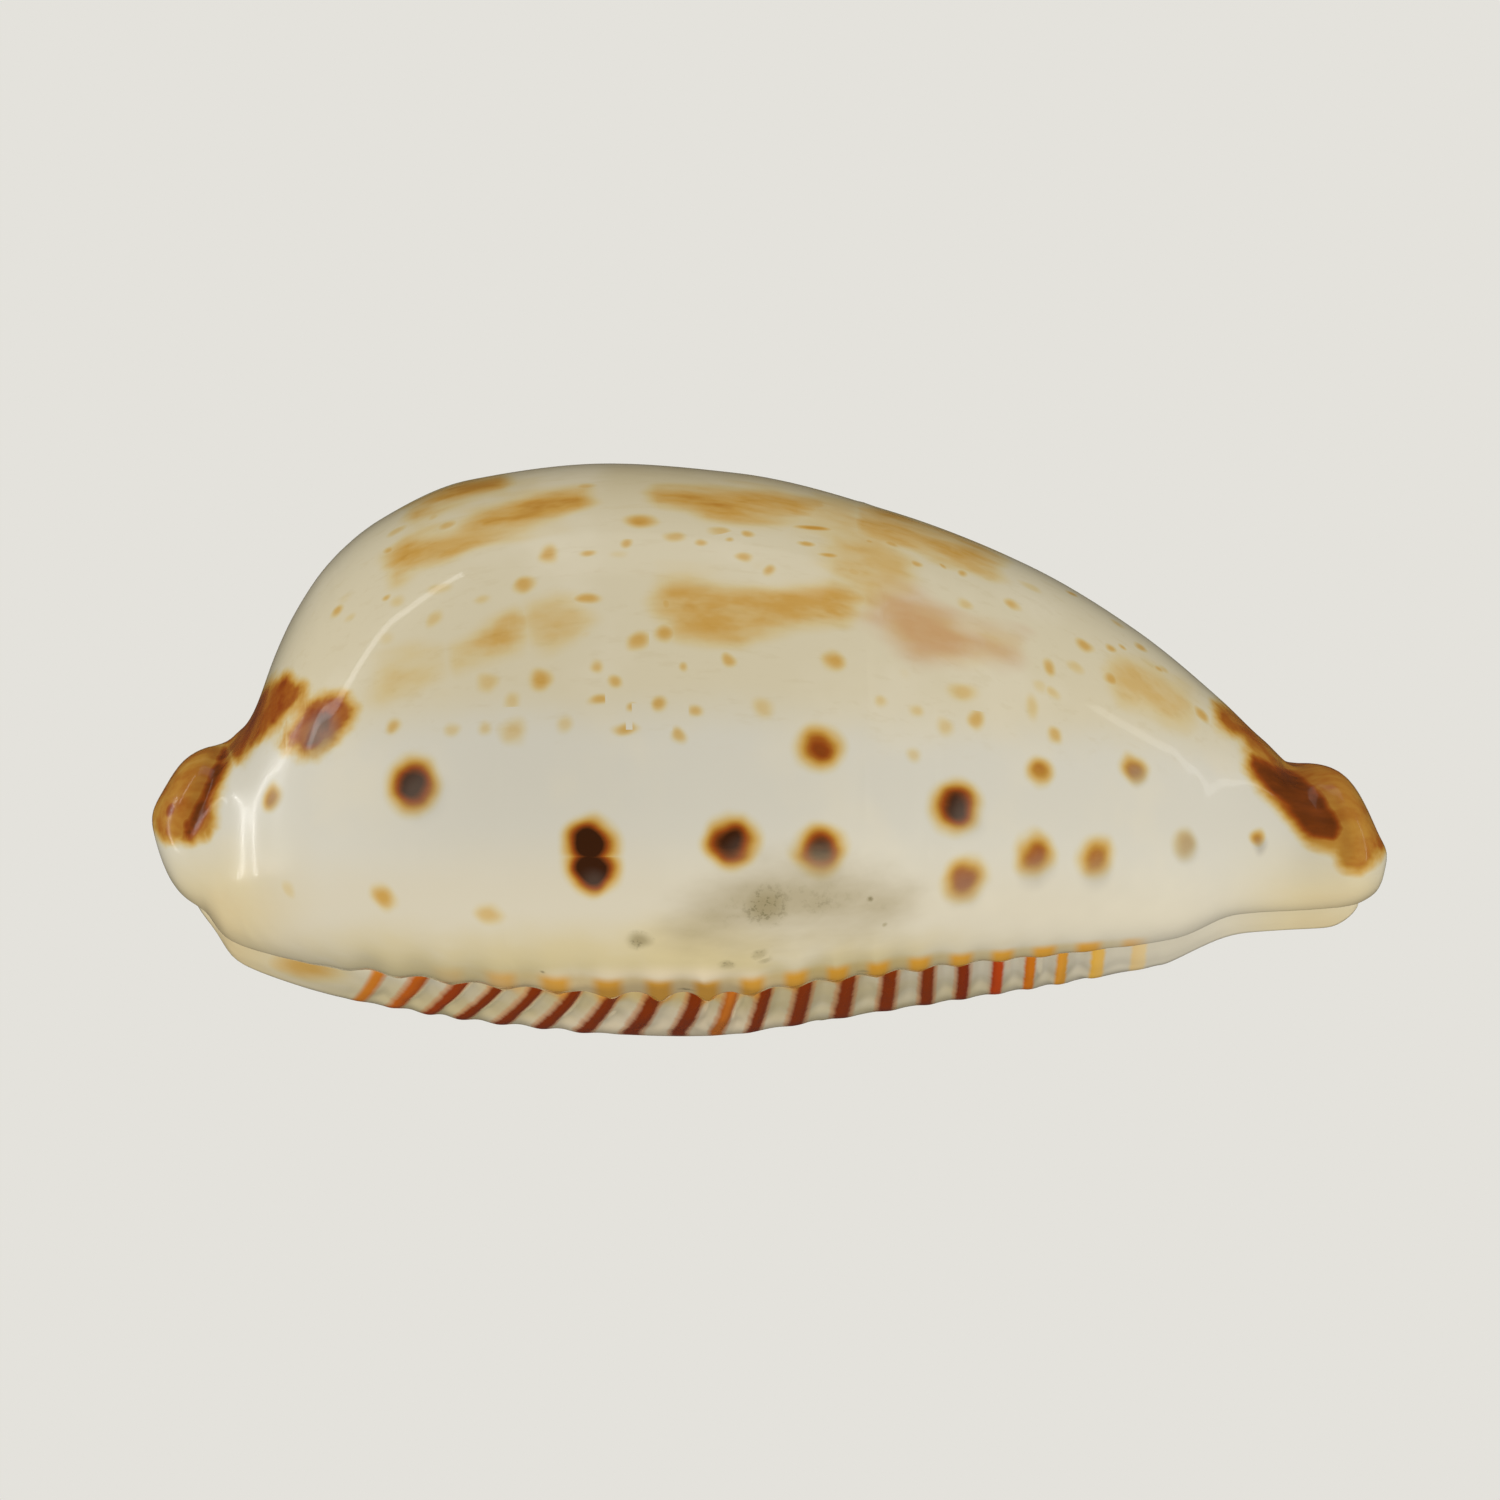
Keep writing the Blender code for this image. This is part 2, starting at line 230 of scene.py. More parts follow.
farSpots = [
    (-9.6, 5.2, 1.12, 1.02), (-3.2, 6.0, 1.12, 1.08), (3.4, 5.0, 1.00, 1.02),
    (7.4, 5.9, 1.05, 1.00), (-12.6, 6.5, 0.80, 0.66), (0.3, 4.3, 0.92, 0.76),
    (10.6, 4.7, 0.84, 0.60), (-6.3, 8.4, 0.80, 0.70), (-7.4, 4.1, 0.84, 0.62),
    (5.4, 4.3, 0.76, 0.50), (13.2, 5.3, 0.60, 0.34), (2.0, 7.9, 0.60, 0.50),
    (9.1, 7.0, 0.60, 0.50), (-11.2, 3.7, 0.56, 0.36), (12.0, 7.2, 0.52, 0.46)]
# Where the enamel lies milky over a spot: along, up, radius, strength.
veils = [
    (-10.86, 6.80, 1.10, 0.24), (1.68, 4.66, 0.90, 0.22), (6.12, 6.02, 0.90, 0.26),
    (6.10, 3.86, 0.95, 0.36), (8.30, 4.42, 0.85, 0.32), (10.16, 4.36, 0.80, 0.30),
    (11.44, 7.38, 0.55, 0.42), (12.96, 5.12, 0.70, 0.42), (15.27, 5.18, 0.42, 0.46),
    (-15.34, 6.62, 0.50, 0.30), (-13.95, 8.62, 1.00, 0.55), (-5.40, 4.02, 0.60, 0.14),
    (-0.98, 5.02, 0.60, 0.10)]
# A golden smear under the rear end of the near lip: along, up, half length, half height and
# strength.
smear = (-14.42, 1.42, 2.10, 0.75, 0.36)
# Worn and dirty places: along, up, radius, strength.
blemishes = [
    (-4.02, 2.22, 0.52, 1.00), (-0.03, 3.30, 0.95, 0.95), (-0.30, 1.80, 0.36, 0.55),
    (-1.36, 1.46, 0.34, 0.60), (-7.02, 1.25, 0.14, 0.70), (-0.10, 1.60, 0.30, 0.50),
    (-2.55, 0.72, 0.46, 0.55), (3.14, 3.48, 0.14, 0.75), (3.57, 2.68, 0.12, 0.75),
    (2.95, 1.28, 0.26, 0.75), (1.55, 3.42, 0.50, 0.35)]
# Specks on the back: along, up, half length, half height.
specks = {
    "gold": [
        (-3.23, 11.77, 0.31, 0.31), (-4.10, 11.59, 0.28, 0.28), (-7.11, 10.34, 0.31, 0.31),
        (2.02, 10.93, 0.31, 0.31), (6.46, 9.10, 0.25, 0.25), (-7.58, 13.29, 0.28, 0.28),
        (8.88, 8.54, 0.22, 0.22), (-11.83, 14.35, 0.19, 0.19), (-13.38, 12.46, 0.22, 0.22),
        (-3.94, 15.25, 0.43, 0.25), (-6.83, 14.26, 0.25, 0.37), (-11.64, 8.92, 0.22, 0.22),
        (-3.20, 12.70, 0.16, 0.28), (-11.89, 12.83, 0.12, 0.12), (-5.62, 14.23, 0.22, 0.12),
        (-5.62, 12.86, 0.31, 0.16), (-4.41, 14.57, 0.19, 0.19), (-2.11, 14.57, 0.16, 0.16),
        (-1.27, 14.66, 0.12, 0.12), (-0.65, 14.88, 0.16, 0.16), (-0.78, 14.10, 0.19, 0.19),
        (0.06, 13.70, 0.19, 0.19), (-5.34, 10.75, 0.19, 0.19), (-4.84, 10.28, 0.19, 0.19),
        (-5.34, 9.69, 0.25, 0.16), (-4.38, 9.48, 0.16, 0.16), (-3.35, 9.54, 0.22, 0.22),
        (-2.20, 9.38, 0.19, 0.19), (-1.27, 10.97, 0.19, 0.19), (-2.61, 10.72, 0.12, 0.12),
        (-2.76, 8.61, 0.22, 0.22), (-4.47, 8.79, 0.31, 0.16), (8.72, 10.66, 0.19, 0.25),
        (7.58, 12.67, 0.22, 0.22), (9.78, 11.37, 0.25, 0.25), (10.59, 11.34, 0.19, 0.19),
        (10.96, 11.34, 0.12, 0.12), (11.55, 11.34, 0.19, 0.19), (10.59, 10.38, 0.25, 0.25),
        (12.08, 10.69, 0.16, 0.16), (13.47, 9.20, 0.25, 0.25), (14.22, 8.92, 0.31, 0.31),
        (9.41, 12.98, 0.22, 0.12), (3.79, 14.57, 0.19, 0.19), (4.53, 13.95, 0.16, 0.16),
        (5.34, 13.88, 0.12, 0.12), (6.02, 13.64, 0.16, 0.16), (3.10, 14.63, 0.19, 0.09),
        (1.40, 15.03, 0.56, 0.09), (1.86, 14.19, 0.31, 0.09), (1.18, 14.54, 0.28, 0.09)],
    "pale": [
        (-0.19, 9.41, 0.28, 0.28), (-8.85, 8.79, 0.22, 0.22), (-7.98, 8.70, 0.37, 0.37),
        (-9.84, 8.76, 0.22, 0.22), (-8.76, 10.28, 0.28, 0.28), (-7.98, 9.63, 0.25, 0.25),
        (-6.36, 8.92, 0.25, 0.25), (-10.34, 12.21, 0.25, 0.25), (-10.43, 15.41, 0.22, 0.22),
        (3.48, 9.66, 0.19, 0.19), (5.99, 9.94, 0.43, 0.25), (5.46, 8.85, 0.25, 0.25),
        (4.53, 9.35, 0.22, 0.22), (8.82, 9.91, 0.19, 0.19), (8.17, 9.44, 0.19, 0.37),
        (4.53, 7.95, 0.22, 0.22), (6.09, 12.67, 0.22, 0.22)],
}
# Stains and blotches, and painted shade in the creases beside the end lobes: outlines on the side
# view.
outlines = {
    "deep": [
        [(-15.74, 10.0), (-15.34, 10.31), (-14.96, 10.44), (-14.44, 10.07), (-14.47, 9.69),
         (-14.87, 9.35), (-15.55, 8.67), (-16.11, 8.23), (-16.42, 7.77), (-16.86, 8.08),
         (-17.11, 8.39), (-16.55, 9.13)],
        [(-14.14, 9.56), (-13.71, 9.84), (-13.21, 9.84), (-12.89, 9.49), (-12.96, 9.06),
         (-13.28, 8.7), (-13.71, 8.35), (-14.14, 8.03), (-14.56, 7.92), (-14.7, 8.21),
         (-15.06, 8.13), (-15.17, 8.42), (-14.85, 8.85), (-14.49, 9.2)],
        [(13.88, 9.54), (13.97, 9.07), (14.25, 8.73), (14.72, 8.57), (14.78, 8.36), (14.93, 7.95),
         (15.14, 7.38), (15.57, 6.88), (15.93, 6.59), (16.28, 6.38), (16.42, 5.95), (16.57, 5.52),
         (16.85, 5.17), (17.28, 4.99), (17.57, 4.92), (17.63, 4.6), (17.92, 4.38), (18.35, 4.35),
         (18.71, 4.6), (18.94, 4.97), (19.34, 5.35), (19.34, 6.9), (18.35, 7.99), (16.49, 8.14),
         (14.93, 9.69)],
    ],
    "ochre": [
        [(-16.83, 8.39), (-17.51, 8.51), (-18.44, 8.45), (-19.6, 7.52), (-19.6, 6.12),
         (-19.2, 5.72), (-18.68, 5.36), (-18.07, 5.3), (-17.52, 5.39), (-17.24, 5.79),
         (-17.23, 6.59), (-16.86, 7.52)],
    ],
    # Dark marks: the first is the dark core of a real stain; the other two follow the grooves beside
    # the end lobes and are painted shade in those creases.
    "darkAndCreaseShade": [
        [(-14.0, 9.51), (-13.63, 9.32), (-13.29, 9.2), (-13.38, 8.82), (-13.75, 8.51),
         (-14.1, 8.14), (-14.47, 8.08), (-14.53, 8.39), (-14.31, 8.82), (-14.06, 9.13)],
        [(-16.8, 8.45), (-17.01, 8.2), (-17.23, 7.77), (-17.45, 7.21), (-17.76, 6.59),
         (-18.1, 5.9), (-18.26, 5.41), (-17.91, 5.35), (-17.57, 5.78), (-17.42, 6.34),
         (-17.2, 6.9), (-16.98, 7.52), (-16.76, 7.99)],
        [(15.0, 8.08), (15.71, 7.67), (16.49, 7.36), (17.26, 6.74), (17.88, 5.66), (17.57, 5.28),
         (16.86, 5.41), (16.18, 6.12), (15.49, 6.9), (14.93, 7.58)],
    ],
    "tan": [
        [(-11.64, 14.04), (-11.21, 14.47), (-9.69, 14.82), (-8.85, 15.37), (-7.19, 16.07),
         (-5.81, 16.14), (-5.66, 15.79), (-6.49, 15.37), (-7.46, 15.09), (-8.44, 14.82),
         (-9.54, 14.54), (-10.38, 14.19), (-11.07, 13.99), (-11.58, 13.6), (-11.8, 13.76)],
        [(-3.45, 16.15), (-2.2, 16.21), (0.3, 16.0), (1.55, 15.72), (0.85, 15.45), (-0.95, 15.37),
         (-1.92, 15.37), (-2.47, 15.72), (-3.45, 15.9)],
        [(-9.82, 11.36), (-9.13, 11.91), (-7.89, 12.33), (-7.67, 11.91), (-7.89, 11.36),
         (-8.85, 11.01), (-9.69, 10.81)],
        [(-3.31, 13.29), (-2.48, 13.43), (-1.09, 13.29), (0.3, 13.17), (1.96, 13.29),
         (2.83, 12.98), (2.24, 12.42), (0.3, 11.99), (-0.95, 11.63), (-1.92, 11.63),
         (-2.76, 11.91), (-3.31, 12.47)],
        [(2.92, 15.37), (3.62, 15.37), (5.15, 14.82), (6.4, 14.41), (7.08, 13.85), (6.95, 13.76),
         (5.7, 14.13), (5.0, 14.47), (3.62, 14.82), (2.92, 15.17)],
        [(-11.08, 15.53), (-10.21, 16.03), (-9.28, 16.37), (-8.44, 16.52), (-8.41, 16.4),
         (-9.28, 16.18), (-10.21, 15.81), (-10.99, 15.34)],
    ],
    "faint": [
        [(-11.89, 10.78), (-11.15, 11.18), (-10.21, 11.24), (-10.34, 10.81), (-11.15, 10.31),
         (-11.77, 10.1)],
        [(-7.33, 12.36), (-6.64, 12.55), (-6.09, 12.39), (-6.12, 11.8), (-6.8, 11.49),
         (-7.23, 11.68)],
        [(10.87, 10.81), (11.43, 10.73), (12.29, 10.16), (12.93, 9.88), (13.01, 9.6),
         (12.29, 9.52), (11.58, 9.8), (11.08, 9.94), (10.79, 10.38)],
        [(2.14, 14.66), (3.45, 14.66), (4.22, 14.04), (4.07, 13.11), (3.14, 12.86), (2.2, 13.57)],
        [(1.52, 15.9), (2.51, 15.53), (2.89, 15.22), (2.36, 14.97), (0.96, 15.34)],
    ],
    "rosy": [
        [(3.62, 12.89), (4.32, 12.81), (5.56, 12.33), (6.81, 11.91), (7.64, 11.49), (7.64, 11.09),
         (6.4, 10.93), (4.59, 11.09), (3.9, 11.77), (3.48, 12.33)],
    ],
    "grimy": [
        [(-2.76, 2.71), (-2.14, 3.33), (-1.06, 3.95), (0.03, 4.17), (1.58, 4.17), (3.45, 3.95),
         (4.13, 3.48), (3.76, 3.02), (2.51, 2.8), (0.65, 2.55), (-1.21, 2.4), (-2.45, 2.4)],
    ],
}
# The far side has the same stains, shifted by this many mm along and up, or none of a kind.
farShift = {"tan": (1.6, -0.5), "faint": (-1.2, 0.3), "rosy": (-2.4, -0.7), "grimy": None}
stainReach = {
    "atEnds": ("deep", "ochre", "darkAndCreaseShade"),   # these stop at the middle plane
    "pastCrest": 4.0,                      # mm past the crest where the others have to end
    "crestFade": 0.6,                      # how fast they end there, mm for each mm
    "faraway": -9.0,                       # mm inside its outline, for a point with no stain near
}


def addField(shell, name, values):
    layer = shell.data.attributes.new(name, "FLOAT", "POINT")
    layer.data.foreach_set("value", np.asarray(values, dtype=np.float32))


# How far inside each kind of stain, or the painted crease shade, a point is, as on the side view of
# its own side.
def addStainFields(shell):
    places = pointsOf(shell.data)
    y = places[:, 1] / mm
    for kind, shapes in outlines.items():
        atEnds = kind in stainReach["atEnds"]
        inside = np.full(len(places), stainReach["faraway"])
        for side in (near, far):
            along, up = onSideView(places, side)
            if side == far and kind in farShift:
                if farShift[kind] is None:
                    continue
                along, up = along - farShift[kind][0], up - farShift[kind][1]
            beyond = y * side < (0 if atEnds else -stainReach["pastCrest"])
            pastCrest = 0 if atEnds else np.maximum(0, -y * side) * stainReach["crestFade"]
            for shape in shapes:
                within = insideBy(shape, along, up) - pastCrest
                inside = np.where(beyond, inside, np.maximum(inside, within))
        addField(shell, kind + "Stain", inside)


# A place on the shell, from its place on the side view.
def onShell(tree, along, up, side):
    eye = eyeFor(side)
    rise = upFor(side) * (up * mm - target.dot(upFor(side)))
    aim = target + Vector((along * mm - target.x, 0, 0)) + rise
    place = tree.ray_cast(eye, (aim - eye).normalized())[0]
    if place is None:
        raise RuntimeError(f"no shell at {along}, {up}")
    return place


middleWeight = 0.3  # what a face's middle counts beside its nearest corner when it picks a mark


# Each face keeps the mark it is nearest to: where its corners lie from the mark's middle, counted
# in the mark's radius, with that radius and the mark's strength. A mark is side, along, up, half
# length, half height, strength.
def addMarkFields(shell, tree, name, marks):
    mesh = shell.data
    corners = np.empty(len(mesh.loops), np.int32)
    mesh.loops.foreach_get("vertex_index", corners)
    sides = np.empty(len(mesh.polygons), np.int32)
    mesh.polygons.foreach_get("loop_total", sides)
    places, starts = pointsOf(mesh)[corners], np.cumsum(sides) - sides
    low, high = np.minimum.reduceat(places, starts), np.maximum.reduceat(places, starts)
    centres = np.array([onShell(tree, along, up, side) for side, along, up, *rest in marks])
    reach = np.array([(length, max(length, height), height)
                      for *rest, length, height, strength in marks]) * mm
    strengths = np.array([mark[-1] for mark in marks])
    nearest, chosen = np.full(len(low), np.inf), np.zeros(len(low), int)
    for index in range(len(marks)):
        fromMiddle = np.abs((low + high) / 2 - centres[index])
        fromFace = np.maximum(fromMiddle - (high - low) / 2, 0)
        away = np.linalg.norm((fromFace + middleWeight * fromMiddle) / reach[index], axis=1)
        chosen = np.where(away < nearest, index, chosen)
        nearest = np.minimum(nearest, away)
    ofCorner = np.repeat(chosen, sides)
    offsets = (places - centres[ofCorner]) / reach[ofCorner]
    layer = mesh.attributes.new(name + "Offset", "FLOAT_VECTOR", "CORNER")
    layer.data.foreach_set("vector", offsets.ravel())
    for kind, values in (("Radius", reach[chosen, 1]), ("Strength", strengths[chosen])):
        mesh.attributes.new(name + kind, "FLOAT", "FACE").data.foreach_set("value", values)


def roundMarks(marks, side):
    return [(side, along, up, radius, radius, strength) for along, up, radius, strength in marks]


# Specks fade out past their half length and height, and small ones are fainter. The far side has
# the same ones, drawn in a little.
speckLook = {
    "spread": 1.7,
    "leastStrength": 0.65,
    "farScale": 0.93,
    "farShift": 0.6,     # mm along
    "pale": 0.21,
    "gold": 0.37,
}


def speckMarks(kind):
    marks = []
    for along, up, length, height in specks[kind]:
        look = (length * speckLook["spread"], height * speckLook["spread"],
                speckLook[kind] * (speckLook["leastStrength"] + length))
        marks.append((near, along, up, *look))
        along = along * speckLook["farScale"] + speckLook["farShift"]
        marks.append((far, along, up * speckLook["farScale"], *look))
    return marks


def profile(points, x):
    xs, values = zip(*points)
    return np.interp(x, xs, values)


# 0 at the start, 1 at the end and even between them, whichever is the higher.
def ramp(values, start, end):
    return np.clip((values - start) / (end - start), 0, 1)


def toothGaps(places):
    places = np.array(places)
    gaps = (places[:-1] + places[1:]) / 2
    return np.concatenate(([2 * places[0] - gaps[0]], gaps, [2 * places[-1] - gaps[-1]]))


# Which tooth a point is on, counted from the rear, and how far it is across that lip: 0 at the
# mouth, 1 at the foot.
def addToothFields(shell):
    places = pointsOf(shell.data) / mm
    x, y = places[:, 0], places[:, 1]
    for side, name in ((far, "columella"), (near, "outerLip")):
        lip = profile(teeth["mouthMiddle"], x) + side * profile(teeth["mouthWidth"], x) / 2
        start = lip + side * teeth["lipRound"]
        halfWidth = profile(teeth["halfWidth"], x)
        foot = lip + side * teeth["footShare"] * (halfWidth - side * lip)
        across = (y - start) / (foot - start)
        atLip = x.copy()
        if side == far:
            lean = np.clip(teeth["leanFrom"] + (1 - teeth["leanFrom"]) * across, 0, 1)
            for again in range(teeth["leanRounds"]):
                atLip = x - profile(teeth["slant"], atLip) * lean
        gaps = toothGaps(teeth[name])
        addField(shell, name + "Tooth", np.interp(atLip, gaps, np.arange(len(gaps))))
        addField(shell, name + "Across", np.clip(across, -2, 3))


def scallopLip(shell):
    places = pointsOf(shell.data)
    tooth, across = np.empty(len(places)), np.empty(len(places))
    shell.data.attributes["outerLipTooth"].data.foreach_get("value", tooth)
    shell.data.attributes["outerLipAcross"].data.foreach_get("value", across)
    count = len(teeth["outerLip"])
    between = 0.5 + 0.5 * np.cos(2 * math.pi * tooth)
    inRow = ramp(tooth, 0, 1) * ramp(tooth, count, count - 1)
    atEdge = ramp(across, *scallop["inner"]) * ramp(across, *scallop["outer"])
    low = ramp(places[:, 2] / mm, *scallop["up"])
    places[:, 2] += scallop["rise"] * mm * between * inRow * atEdge * low
    movePoints(shell.data, places)


addToothFields(shell)
scallopLip(shell)
addStainFields(shell)
tree = BVHTree.FromObject(shell, bpy.context.evaluated_depsgraph_get())
spotMarks = roundMarks(spots, near) + roundMarks(farSpots, far) + [(near, *smear)]
addMarkFields(shell, tree, "spot", spotMarks)
addMarkFields(shell, tree, "speck", speckMarks("pale") + speckMarks("gold"))
addMarkFields(shell, tree, "veil", roundMarks(veils, near))
addMarkFields(shell, tree, "blemish", roundMarks(blemishes, near))
print("markings laid out")


# Porcelain: a cream glaze with the markings in it.
def paint(red, green, blue):
    def linear(value):
        value /= 255
        return value / 12.92 if value <= 0.04045 else ((value + 0.055) / 1.055) ** 2.4
    return (linear(red), linear(green), linear(blue), 1.0)


glazeLook = {
    "roughness": 0.24,
    "roughnessSpread": 0.10,
    "sheen": 0.2,
    "coat": 0.55,
    "coatRoughness": 0.05,
    "coatLostOnLines": 0.35,
    "bumpStrength": 0.12,
    "bumpDepth": 0.03,       # mm
    "edgeWander": 0.42,      # mm that edges of marks wander
    "levelWander": 1.6,      # mm up and down that the ground's colours wander
    "streakWander": 2.4,     # mm that streaks draw the blotches out
    "tanStreaks": 0.7,       # share of that on the tan blotches
    "streaky": (0.36, 0.64),  # of the patches, where a blotch goes from thin to thick
    "grainInPigment": 0.24,
    "fullWithin": 0.14,      # of its radius, the middle of a mark that has all its strength
}
paints = {
    "dorsum": paint(216, 204, 172),
    # Darker and duller on the crest: partly the shell's own tone, partly painted shade where less
    # light reaches the top.
    "crest": paint(206, 190, 150),
    "callus": paint(216, 210, 192),
    "lowCallus": paint(216, 206, 181),
    "lip": paint(214, 197, 150),
    # Paler on the base: its own cream-white, lightened further as painted light for the shade on the
    # underside.
    "base": paint(238, 220, 184),
    "cloud": paint(226, 216, 190),
    "streak": paint(200, 182, 138),
    "rosy": paint(203, 164, 126),
    "veil": paint(146, 136, 122),
    "gold": paint(236, 166, 30),
    "grime": paint(168, 152, 114),
    "worn": paint(150, 135, 94),
    "dirt": paint(128, 118, 84),
    "toothEdging": paint(208, 132, 70),
    "toothRed": paint(134, 50, 2),
}
# Heights in mm over which something comes in; where the second is the lower, it goes out upwards.
levels = {
    "crest": (13.5, 17.0),
    "callus": (8.6, 6.6),
    "lowCallus": (4.4, 2.2),
    "lip": (1.9, 0.4),
    "base": (0.5, 0.1),
    "streak": (6.0, 8.0),
    "darkerBlotches": (11.5, 14.0),
    "dust": (8.2, 10.0),
    "cast": (5.6, 2.6),
    "goldenEdge": (2.0, 1.4),
}
# The same brown pigment is in all the markings: thin it is golden, thick nearly black. It tints
# what it lies on.
pigmentTints = [
    (0.0, (1, 1, 1, 1)), (0.12, (0.98, 0.90, 0.70, 1)), (0.25, (0.94, 0.73, 0.40, 1)),
    (0.38, (0.88, 0.57, 0.18, 1)), (0.50, (0.73, 0.38, 0.065, 1)),
    (0.62, (0.57, 0.195, 0.022, 1)), (0.74, (0.42, 0.092, 0.008, 1)),
    (0.87, (0.21, 0.052, 0.007, 1)), (1.0, (0.065, 0.019, 0.004, 1))]
# Noises through the glaze: scale, detail, roughness, and stretch along the shell.
noises = {
    "shake": (950, 1.0, 0.5, 1.0),
    "grain": (2600, 3.0, 0.6, 0.28),
    "clouds": (240, 3.0, 0.55, 1.0),
    "patches": (900, 3.0, 0.6, 0.5),
    "streaks": (520, 2.0, 0.5, 0.35),
    "speckled": (4200, 3.0, 0.7, 1.0),
}
porcelain = bpy.data.materials.new("glossy porcelain")
porcelain.use_nodes = True
nodes = porcelain.node_tree.nodes
links = porcelain.node_tree.links
glaze = nodes["Principled BSDF"]


def feed(socket, value):
    if isinstance(value, bpy.types.NodeSocket):
        links.new(value, socket)
    else:
        socket.default_value = value


def maths(operation, *values):
    node = nodes.new("ShaderNodeMath")
    node.operation = operation
    for socket, value in zip(node.inputs, values):
        feed(socket, value)
    return node.outputs[0]


def vectors(operation, *values):
    node = nodes.new("ShaderNodeVectorMath")
    node.operation = operation
    for socket, value in zip(node.inputs, values):
        feed(socket, value)
    return node.outputs["Value" if operation == "LENGTH" else "Vector"]


def fade(value, start, end, atStart=0.0, atEnd=1.0):
    node = nodes.new("ShaderNodeMapRange")
    node.interpolation_type = "SMOOTHSTEP"
    for socket, amount in zip(node.inputs, (value, start, end, atStart, atEnd)):
        feed(socket, amount)
    return node.outputs[0]


def cover(under, over, amount, blend="MIX"):
    node = nodes.new("ShaderNodeMix")
    node.data_type = "RGBA"
    node.blend_type = blend
    feed(node.inputs[0], amount)
    feed(node.inputs[6], under)
    feed(node.inputs[7], over)
    return node.outputs[2]


def shades(value, stops):
    node = nodes.new("ShaderNodeValToRGB")
    entries = node.color_ramp.elements
    while len(entries) < len(stops):
        entries.new(0.5)
    for entry, (position, colour) in zip(entries, stops):
        entry.position = position
        entry.color = colour
    feed(node.inputs[0], value)
    return node.outputs[0]


def field(name, output="Fac"):
    node = nodes.new("ShaderNodeAttribute")
    node.attribute_name = name
    return node.outputs[output]


def noise(name, output="Fac"):
    scale, detail, roughness, stretch = noises[name]
    node = nodes.new("ShaderNodeTexNoise")
    feed(node.inputs["Vector"], vectors("MULTIPLY", place, (stretch, 1, 1)))
    node.inputs["Scale"].default_value = scale
    node.inputs["Detail"].default_value = detail
    node.inputs["Roughness"].default_value = roughness
    return node.outputs[output]


def times(*values):
    result = values[0]
    for value in values[1:]:
        result = maths("MULTIPLY", result, value)
    return result


def most(values):
    result = values[0]
    for value in values[1:]:
        result = maths("MAXIMUM", result, value)
    return result


# A noise made to swing evenly about nothing, this wide.
def swing(value, width):
    return maths("MULTIPLY_ADD", value, width, -width / 2)


def atLevel(name, height, full=1.0):
    start, end = levels[name]
    return fade(height, start * mm, end * mm, 0.0, full)


place = nodes.new("ShaderNodeTexCoord").outputs["Object"]
parts = nodes.new("ShaderNodeSeparateXYZ")
feed(parts.inputs[0], place)
x, y, z = parts.outputs
wander = glazeLook["edgeWander"] * mm
shake = vectors("MULTIPLY_ADD", noise("shake", "Color"), (wander,) * 3, (-wander / 2,) * 3)
grain = noise("grain")   # fine streaks along the shell
clouds = noise("clouds")
patches = noise("patches")
streaks = swing(noise("streaks"), glazeLook["streakWander"])


# How strong the nearest mark is at a point: full in its middle, nothing at its edge.
def markStrength(name):
    shaken = vectors("DIVIDE", shake, field(name + "Radius"))
    away = vectors("LENGTH", vectors("ADD", field(name + "Offset", "Vector"), shaken))
    return times(fade(away, 1.0, glazeLook["fullWithin"]), field(name + "Strength"))


# Where the ground's pale clouds, dark streaks and rosy patch start and are full, in their noise or
# in mm inside the outline, and how much they cover there.
groundFades = {
    "cloud": (0.46, 0.70, 0.0, 0.45),
    "streak": (0.54, 0.70, 0.0, 0.18),
    "rosy": (-0.75, 0.45, 0.0, 0.85),
}


# The ground: darker and duller on the crest, partly the shell's own tone and partly painted shade
# where less light reaches the top; whiter on the callus round the sides, yellower towards the lips,
# and paler on the base, lightened there as painted light for the shade underneath.
def groundColour():
    height = maths("ADD", z, swing(clouds, glazeLook["levelWander"] * mm))
    colour = cover(paints["dorsum"], paints["crest"], atLevel("crest", z))
    for name in ("callus", "lowCallus", "lip"):
        colour = cover(colour, paints[name], atLevel(name, height))
    colour = cover(colour, paints["base"], atLevel("base", z))
    colour = cover(colour, paints["cloud"], fade(clouds, *groundFades["cloud"]))
    streaked = times(fade(grain, *groundFades["streak"]), atLevel("streak", z))
    colour = cover(colour, paints["streak"], streaked)
    rosy = fade(maths("ADD", field("rosyStain"), streaks), *groundFades["rosy"])
    return cover(colour, paints["rosy"], rosy)


# Stains: how far inside its outline each starts and is full, in mm, and its pigment: how much it
# has in its thin places, and how much more in its thick ones.
stains = {
    "tan": {"edge": (-0.60, 0.35), "pigment": (0.24, 0.14)},
    "faint": {"edge": (-0.80, 0.50), "pigment": (0.18, 0.08)},
    "rosy": {"edge": (-0.50, 0.40), "pigment": (0.06, 0.08)},
    "deep": {"edge": (-0.38, 0.24), "pigment": (0.37, 0.50)},
    "ochre": {"edge": (-0.38, 0.26), "pigment": (0.32, 0.50)},
    # The dark kind is a stain's dark core and painted shade in the creases beside the end lobes.
    "darkAndCreaseShade": {"edge": (-0.42, 0.24), "pigment": (0.86, 0.0)},
}


def stainPigment(kind, edgeSwing, thickness, more=0.0):
    thin, extra = stains[kind]["pigment"]
    inside = maths("ADD", field(kind + "Stain"), edgeSwing)
    amount = maths("ADD", maths("MULTIPLY_ADD", thickness, extra, thin), more)
    return times(fade(inside, *stains[kind]["edge"]), amount)


